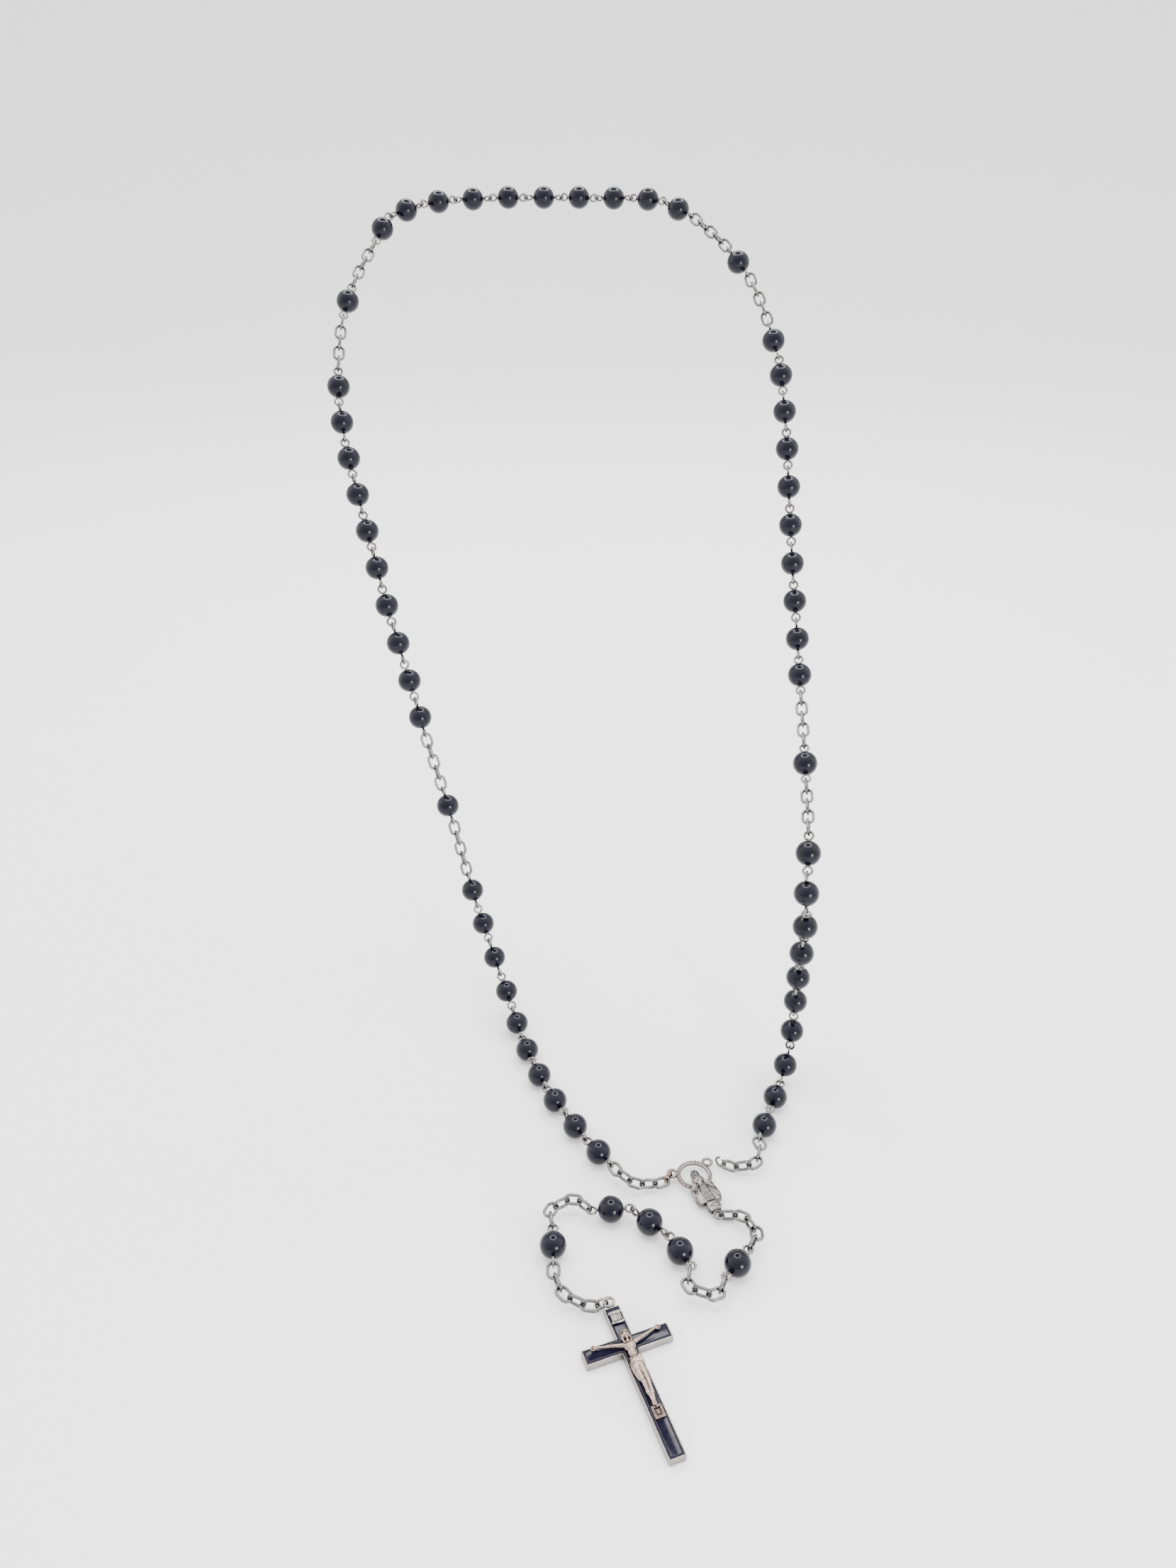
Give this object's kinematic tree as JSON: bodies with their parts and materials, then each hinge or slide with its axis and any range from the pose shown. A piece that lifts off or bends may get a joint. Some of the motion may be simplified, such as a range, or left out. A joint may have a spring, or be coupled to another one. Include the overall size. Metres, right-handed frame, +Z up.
{
  "type": "rosary",
  "caption": "Dark bead rosary on eye pins and chain, with a haloed figure medal, a pendant strand and an inlaid crucifix, draped as on a bust.",
  "frame": {"origin": "middle of the neck strand, where its two middle beads hook together", "axes": "+X to the viewer's right, +Y to the back, +Z up"},
  "size_m": [0.1673, 0.3309, 0.2687],
  "materials": {
    "bead": "satin, blue-black",
    "pin": "antiqued silver plate",
    "chain": "antiqued silver plate",
    "medal": "oxidised silver, polished on the high places",
    "cross": "silver plate, lightly antiqued",
    "corpus": "silver plate with a warm coppery tint",
    "inlay": "glossy black enamel"
  },
  "bodies": {
    "decade_3_left": {"decade_3_left_beads": "bead", "decade_3_left_pins": "pin"},
    "chain_05": {"chain_05": "chain"},
    "father_2": {"father_bead_2": "bead", "father_pin_2": "pin"},
    "chain_04": {"chain_04": "chain"},
    "decade_2_upper": {"decade_2_upper_beads": "bead", "decade_2_upper_pins": "pin"},
    "decade_2_lower": {"decade_2_lower_beads": "bead", "decade_2_lower_pins": "pin"},
    "chain_03": {"chain_03": "chain"},
    "father_1": {"father_bead_1": "bead", "father_pin_1": "pin"},
    "chain_02": {"chain_02": "chain"},
    "decade_1_upper": {"decade_1_upper_beads": "bead", "decade_1_upper_pins": "pin"},
    "decade_1_lower": {"decade_1_lower_beads": "bead", "decade_1_lower_pins": "pin"},
    "chain_01": {"chain_01": "chain"},
    "medal": {"medal": "medal"},
    "chain_11": {"chain_11": "chain"},
    "father_5": {"father_bead_5": "bead", "father_pin_5": "pin"},
    "chain_12": {"chain_12": "chain"},
    "hail_1": {"hail_bead_1": "bead", "hail_pin_1": "pin"},
    "hail_2": {"hail_bead_2": "bead", "hail_pin_2": "pin"},
    "hail_3": {"hail_bead_3": "bead", "hail_pin_3": "pin"},
    "chain_13": {"chain_13": "chain"},
    "father_6": {"father_bead_6": "bead", "father_pin_6": "pin"},
    "chain_14": {"chain_14": "chain"},
    "crucifix": {"crucifix_frame": "cross", "crucifix_inlay": "inlay", "crucifix_corpus": "corpus", "title_plate": "cross"},
    "decade_3_right": {"decade_3_right_beads": "bead", "decade_3_right_pins": "pin"},
    "chain_06": {"chain_06": "chain"},
    "father_3": {"father_bead_3": "bead", "father_pin_3": "pin"},
    "chain_07": {"chain_07": "chain"},
    "decade_4_upper": {"decade_4_upper_beads": "bead", "decade_4_upper_pins": "pin"},
    "decade_4_lower": {"decade_4_lower_beads": "bead", "decade_4_lower_pins": "pin"},
    "chain_08": {"chain_08": "chain"},
    "father_4": {"father_bead_4": "bead", "father_pin_4": "pin"},
    "chain_09": {"chain_09": "chain"},
    "decade_5_upper": {"decade_5_upper_beads": "bead", "decade_5_upper_pins": "pin"},
    "decade_5_lower": {"decade_5_lower_beads": "bead", "decade_5_lower_pins": "pin"},
    "chain_10": {"chain_10": "chain"}
  },
  "joints": [
    {"name": "chain_05_hook", "type": "hinge", "parent": "decade_3_left", "child": "chain_05", "pos_m": [-0.0545, -0.02747, -0.01392], "axis": [0.8762, -0.0481, -0.4795], "range_deg": [-60, 60]},
    {"name": "father_2_hook", "type": "hinge", "parent": "chain_05", "child": "father_2", "pos_m": [-0.06066, -0.04013, -0.02532], "axis": [-0.9029, -0.0071, 0.4297], "range_deg": [-60, 60]},
    {"name": "chain_04_hook", "type": "hinge", "parent": "father_2", "child": "chain_04", "pos_m": [-0.06386, -0.05103, -0.03621], "axis": [0.946, 0.1497, -0.2876], "range_deg": [-60, 60]},
    {"name": "decade_2_upper_hook", "type": "hinge", "parent": "chain_04", "child": "decade_2_upper", "pos_m": [-0.06458, -0.06306, -0.04972], "axis": [-0.9527, -0.2322, 0.196], "range_deg": [-60, 60]},
    {"name": "decade_2_lower_hook", "type": "hinge", "parent": "decade_2_upper", "child": "decade_2_lower", "pos_m": [-0.05085, -0.10378, -0.10394], "axis": [0.9149, 0.4032, 0.0206], "range_deg": [-60, 60]},
    {"name": "chain_03_hook", "type": "hinge", "parent": "decade_2_lower", "child": "chain_03", "pos_m": [-0.03424, -0.12687, -0.16232], "axis": [-0.8857, -0.4507, -0.1114], "range_deg": [-60, 60]},
    {"name": "father_1_hook", "type": "hinge", "parent": "chain_03", "child": "father_1", "pos_m": [-0.02846, -0.13132, -0.18332], "axis": [0.8793, 0.4563, 0.1368], "range_deg": [-60, 60]},
    {"name": "chain_02_hook", "type": "hinge", "parent": "father_1", "child": "chain_02", "pos_m": [-0.02553, -0.13365, -0.19435], "axis": [-0.8793, -0.4563, -0.1368], "range_deg": [-60, 60]},
    {"name": "decade_1_upper_hook", "type": "hinge", "parent": "chain_02", "child": "decade_1_upper", "pos_m": [-0.02045, -0.13803, -0.21554], "axis": [0.884, 0.4524, 0.118], "range_deg": [-60, 60]},
    {"name": "decade_1_lower_hook", "type": "hinge", "parent": "decade_1_upper", "child": "decade_1_lower", "pos_m": [-0.0005, -0.17377, -0.26053], "axis": [-0.9491, -0.3148, 0.0098], "range_deg": [-60, 60]},
    {"name": "chain_01_hook", "type": "hinge", "parent": "decade_1_lower", "child": "chain_01", "pos_m": [0.03041, -0.23314, -0.26043], "axis": [0.7905, 0.6124, 0], "range_deg": [-60, 60]},
    {"name": "medal_hook", "type": "hinge", "parent": "chain_01", "child": "medal", "pos_m": [0.04864, -0.2374, -0.2621], "axis": [-0.772, 0.6357, 0], "range_deg": [-60, 60]},
    {"name": "chain_11_hook", "type": "hinge", "parent": "medal", "child": "chain_11", "pos_m": [0.06514, -0.25186, -0.26211], "axis": [0.0715, 0.9974, 0], "range_deg": [-60, 60]},
    {"name": "father_5_hook", "type": "hinge", "parent": "chain_11", "child": "father_5", "pos_m": [0.07135, -0.26402, -0.26055], "axis": [-0.8504, 0.5261, 0], "range_deg": [-60, 60]},
    {"name": "chain_12_hook", "type": "hinge", "parent": "father_5", "child": "chain_12", "pos_m": [0.06215, -0.27676, -0.26043], "axis": [0.8869, -0.4619, 0], "range_deg": [-60, 60]},
    {"name": "hail_1_hook", "type": "hinge", "parent": "chain_12", "child": "hail_1", "pos_m": [0.05263, -0.2733, -0.26043], "axis": [-0.9763, 0.2163, 0], "range_deg": [-60, 60]},
    {"name": "hail_2_hook", "type": "hinge", "parent": "hail_1", "child": "hail_2", "pos_m": [0.04625, -0.25978, -0.26043], "axis": [0.6691, 0.7431, 0], "range_deg": [-60, 60]},
    {"name": "hail_3_hook", "type": "hinge", "parent": "hail_2", "child": "hail_3", "pos_m": [0.03759, -0.25199, -0.26043], "axis": [-0.6691, -0.7431, 0], "range_deg": [-60, 60]},
    {"name": "chain_13_hook", "type": "hinge", "parent": "hail_3", "child": "chain_13", "pos_m": [0.02305, -0.25023, -0.26043], "axis": [0.6529, 0.7574, 0], "range_deg": [-60, 60]},
    {"name": "father_6_hook", "type": "hinge", "parent": "chain_13", "child": "father_6", "pos_m": [0.01267, -0.25622, -0.26043], "axis": [-0.9824, -0.1867, 0], "range_deg": [-60, 60]},
    {"name": "chain_14_hook", "type": "hinge", "parent": "father_6", "child": "chain_14", "pos_m": [0.01346, -0.26989, -0.26043], "axis": [0.9994, 0.0349, 0], "range_deg": [-60, 60]},
    {"name": "crucifix_hook", "type": "hinge", "parent": "chain_14", "child": "crucifix", "pos_m": [0.02729, -0.28255, -0.2621], "axis": [0.338, -0.9411, 0], "range_deg": [-60, 60]},
    {"name": "decade_3_right_hook", "type": "hinge", "parent": "decade_3_left", "child": "decade_3_right", "pos_m": [0.00092, 0, 0], "axis": [0, 0.6, 0.8], "range_deg": [-60, 60]},
    {"name": "chain_06_hook", "type": "hinge", "parent": "decade_3_right", "child": "chain_06", "pos_m": [0.06096, -0.01967, -0.00477], "axis": [-0.5959, -0.3373, -0.7288], "range_deg": [-60, 60]},
    {"name": "father_3_hook", "type": "hinge", "parent": "chain_06", "child": "father_3", "pos_m": [0.07444, -0.03372, -0.01532], "axis": [0.8126, 0.1204, 0.5703], "range_deg": [-60, 60]},
    {"name": "chain_07_hook", "type": "hinge", "parent": "father_3", "child": "chain_07", "pos_m": [0.08029, -0.04119, -0.02208], "axis": [-0.8126, -0.1204, -0.5703], "range_deg": [-60, 60]},
    {"name": "decade_4_upper_hook", "type": "hinge", "parent": "chain_07", "child": "decade_4_upper", "pos_m": [0.08755, -0.05522, -0.03761], "axis": [0.9301, -0.0788, 0.3587], "range_deg": [-60, 60]},
    {"name": "decade_4_lower_hook", "type": "hinge", "parent": "decade_4_upper", "child": "decade_4_lower", "pos_m": [0.09335, -0.09413, -0.08973], "axis": [-0.9581, 0.221, -0.1822], "range_deg": [-60, 60]},
    {"name": "chain_08_hook", "type": "hinge", "parent": "decade_4_lower", "child": "chain_08", "pos_m": [0.09504, -0.13872, -0.14222], "axis": [0.9572, -0.1819, 0.2251], "range_deg": [-60, 60]},
    {"name": "father_4_hook", "type": "hinge", "parent": "chain_08", "child": "father_4", "pos_m": [0.09453, -0.15385, -0.15218], "axis": [-0.9573, 0.1801, -0.2263], "range_deg": [-60, 60]},
    {"name": "chain_09_hook", "type": "hinge", "parent": "father_4", "child": "chain_09", "pos_m": [0.09386, -0.16749, -0.16004], "axis": [0.9576, -0.1738, 0.2299], "range_deg": [-60, 60]},
    {"name": "decade_5_upper_hook", "type": "hinge", "parent": "chain_09", "child": "decade_5_upper", "pos_m": [0.09243, -0.18424, -0.1668], "axis": [-0.9569, 0.1807, -0.2273], "range_deg": [-60, 60]},
    {"name": "decade_5_lower_hook", "type": "hinge", "parent": "decade_5_upper", "child": "decade_5_lower", "pos_m": [0.09357, -0.18751, -0.22843], "axis": [0.9455, -0.3252, -0.0167], "range_deg": [-60, 60]},
    {"name": "chain_10_hook", "type": "hinge", "parent": "decade_5_lower", "child": "chain_10", "pos_m": [0.07921, -0.22228, -0.26043], "axis": [-0.9277, 0.3734, 0], "range_deg": [-60, 60]}
  ]
}
